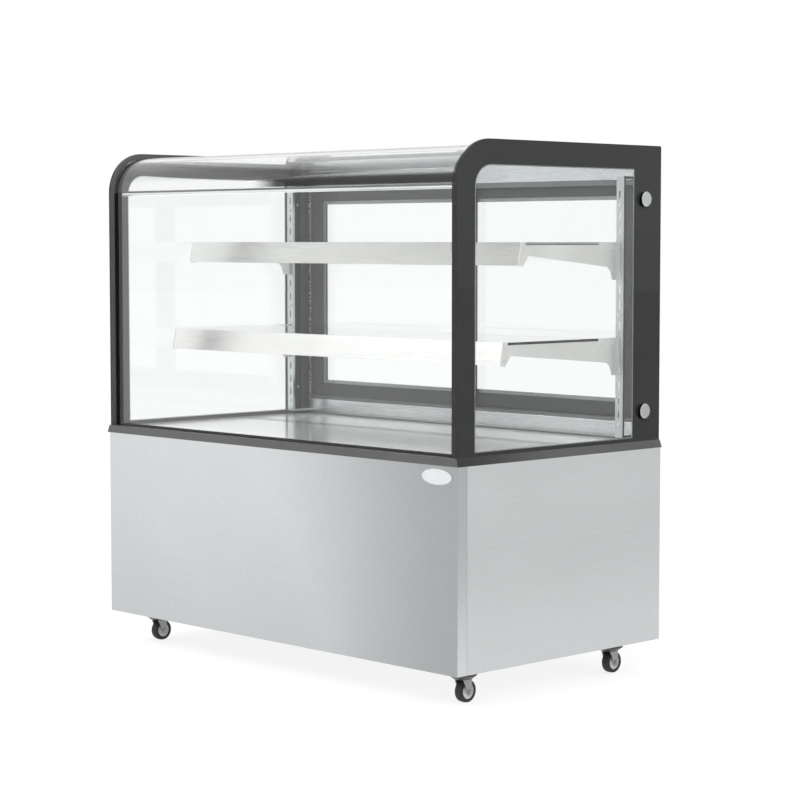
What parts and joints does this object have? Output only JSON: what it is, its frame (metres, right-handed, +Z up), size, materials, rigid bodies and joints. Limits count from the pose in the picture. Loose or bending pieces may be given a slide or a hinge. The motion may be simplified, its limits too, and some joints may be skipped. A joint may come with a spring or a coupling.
{
  "type": "refrigerated bakery display case",
  "caption": "Floor-standing refrigerated bakery case with a bent glass front, glass ends, lift-out glass shelves, rear sliding doors and swivel casters under a steel cabinet.",
  "frame": {"origin": "on the floor under the middle of the case's bounding box", "axes": "+Z up, +X to the right end as the customer sees it from the front, -Y towards the customer"},
  "size_m": [1.2096, 0.669, 1.2015],
  "materials": {
    "steel": "brushed along X",
    "frame_steel": "galvanised",
    "deck_steel": "bright annealed, glossy",
    "door_steel": "satin",
    "rail_steel": "bright brushed",
    "bracket_steel": "light grey coat",
    "standard_zinc": "satin",
    "screw_zinc": "bright zinc",
    "dark_trim": "satin dark grey",
    "dark_frame": "dark anodised",
    "track": "grey anodised",
    "control_panel": "fine texture",
    "black_plastic": "satin",
    "rocker": "satin",
    "button": "satin",
    "badge": "glossy, blank",
    "end_glass": "clear tempered",
    "pane_glass": "clear tempered, bent",
    "door_glass": "clear",
    "shelf_glass": "clear, polished edges",
    "border": "printed ceramic enamel",
    "cap": "satin face, bright bevel",
    "light_housing": "satin",
    "corner_post": "black satin",
    "foam": "moulded liner",
    "coil_alu": "bare fins",
    "coil_copper": "copper tube and fins",
    "fan_plastic": "moulded",
    "compressor_black": "black gloss",
    "pan_zinc": "galvanised",
    "fork_zinc": "zinc grey",
    "wheel_disc": "pale grey",
    "tyre": "black rubber"
  },
  "bodies": {
    "case": {"front_panel": "steel", "left_side_panel": "steel", "right_side_panel": "steel", "rear_panel": "steel", "base_frame": "frame_steel", "caster_plates": "frame_steel", "deck_panel": "deck_steel", "rear_frame": "door_steel", "upper_shelf_rail": "rail_steel", "lower_shelf_rail": "rail_steel", "upper_left_bracket": "bracket_steel", "upper_right_bracket": "bracket_steel", "lower_left_bracket": "bracket_steel", "lower_right_bracket": "bracket_steel", "left_standard": "standard_zinc", "right_standard": "standard_zinc", "standard_screws": "screw_zinc", "base_trim": "dark_trim", "upper_track": "track", "lower_track": "track", "control_plate": "control_panel", "controller": "black_plastic", "cable_gland": "black_plastic", "badge_plate": "badge", "left_end_glass": "end_glass", "right_end_glass": "end_glass", "front_glass": "pane_glass", "glass_borders": "border", "glass_caps": "cap", "light_bar": "light_housing", "corner_posts": "corner_post", "insulated_tub": "foam", "evaporator_coil": "coil_alu", "condenser_coil": "coil_copper", "compressor": "compressor_black", "drip_pan": "pan_zinc"},
    "left_door": {"left_door_frame": "dark_frame", "left_door_glass": "door_glass"},
    "right_door": {"right_door_frame": "dark_frame", "right_door_glass": "door_glass"},
    "upper_shelf": {"upper_shelf_glass": "shelf_glass"},
    "lower_shelf": {"lower_shelf_glass": "shelf_glass"},
    "evaporator_fan": {"evaporator_fan": "fan_plastic"},
    "condenser_fan": {"condenser_fan": "fan_plastic"},
    "power_switch": {"power_switch": "rocker"},
    "light_switch": {"light_switch": "rocker"},
    "up_button": {"up_button": "button"},
    "down_button": {"down_button": "button"},
    "front_left_fork": {"front_left_fork": "fork_zinc"},
    "front_left_wheel": {"front_left_wheel": "wheel_disc", "front_left_tyre": "tyre"},
    "front_right_fork": {"front_right_fork": "fork_zinc"},
    "front_right_wheel": {"front_right_wheel": "wheel_disc", "front_right_tyre": "tyre"},
    "rear_left_fork": {"rear_left_fork": "fork_zinc"},
    "rear_left_wheel": {"rear_left_wheel": "wheel_disc", "rear_left_tyre": "tyre"},
    "rear_right_fork": {"rear_right_fork": "fork_zinc"},
    "rear_right_wheel": {"rear_right_wheel": "wheel_disc", "rear_right_tyre": "tyre"}
  },
  "joints": [
    {"name": "left_door_slide", "type": "slide", "parent": "case", "child": "left_door", "axis": [1, 0, 0], "range_m": [0, 0.5195]},
    {"name": "right_door_slide", "type": "slide", "parent": "case", "child": "right_door", "axis": [1, 0, 0], "range_m": [-0.5195, 0]},
    {"name": "upper_shelf_lift", "type": "slide", "parent": "case", "child": "upper_shelf", "axis": [0, 0, 1], "range_m": [0, 0.02]},
    {"name": "lower_shelf_lift", "type": "slide", "parent": "case", "child": "lower_shelf", "axis": [0, 0, 1], "range_m": [0, 0.02]},
    {"name": "evaporator_fan_spin", "type": "hinge", "parent": "case", "child": "evaporator_fan", "pos_m": [0, 0.19, 0.4335], "axis": [0, 1, 0], "continuous": true},
    {"name": "condenser_fan_spin", "type": "hinge", "parent": "case", "child": "condenser_fan", "pos_m": [0.03, 0.211, 0.1835], "axis": [0, 1, 0], "continuous": true},
    {"name": "power_switch_rock", "type": "hinge", "parent": "case", "child": "power_switch", "pos_m": [0.385, 0.328, 0.3025], "axis": [1, 0, 0], "range_deg": [-8, 0]},
    {"name": "light_switch_rock", "type": "hinge", "parent": "case", "child": "light_switch", "pos_m": [0.362, 0.328, 0.3025], "axis": [1, 0, 0], "range_deg": [-8, 0]},
    {"name": "up_button_press", "type": "slide", "parent": "case", "child": "up_button", "axis": [0, -1, 0], "range_m": [0, 0.0008], "stiffness_N_per_m": 300},
    {"name": "down_button_press", "type": "slide", "parent": "case", "child": "down_button", "axis": [0, -1, 0], "range_m": [0, 0.0008], "stiffness_N_per_m": 300},
    {"name": "front_left_swivel", "type": "hinge", "parent": "case", "child": "front_left_fork", "pos_m": [-0.5275, -0.24, 0.06], "axis": [0, 0, 1], "continuous": true},
    {"name": "front_left_roll", "type": "hinge", "parent": "front_left_fork", "child": "front_left_wheel", "pos_m": [-0.5275, -0.232, 0.025], "axis": [1, 0, 0], "continuous": true},
    {"name": "front_right_swivel", "type": "hinge", "parent": "case", "child": "front_right_fork", "pos_m": [0.5275, -0.24, 0.06], "axis": [0, 0, 1], "continuous": true},
    {"name": "front_right_roll", "type": "hinge", "parent": "front_right_fork", "child": "front_right_wheel", "pos_m": [0.5275, -0.232, 0.025], "axis": [1, 0, 0], "continuous": true},
    {"name": "rear_left_swivel", "type": "hinge", "parent": "case", "child": "rear_left_fork", "pos_m": [-0.5275, 0.24, 0.06], "axis": [0, 0, 1], "continuous": true},
    {"name": "rear_left_roll", "type": "hinge", "parent": "rear_left_fork", "child": "rear_left_wheel", "pos_m": [-0.5275, 0.248, 0.025], "axis": [1, 0, 0], "continuous": true},
    {"name": "rear_right_swivel", "type": "hinge", "parent": "case", "child": "rear_right_fork", "pos_m": [0.5275, 0.24, 0.06], "axis": [0, 0, 1], "continuous": true},
    {"name": "rear_right_roll", "type": "hinge", "parent": "rear_right_fork", "child": "rear_right_wheel", "pos_m": [0.5275, 0.248, 0.025], "axis": [1, 0, 0], "continuous": true}
  ]
}
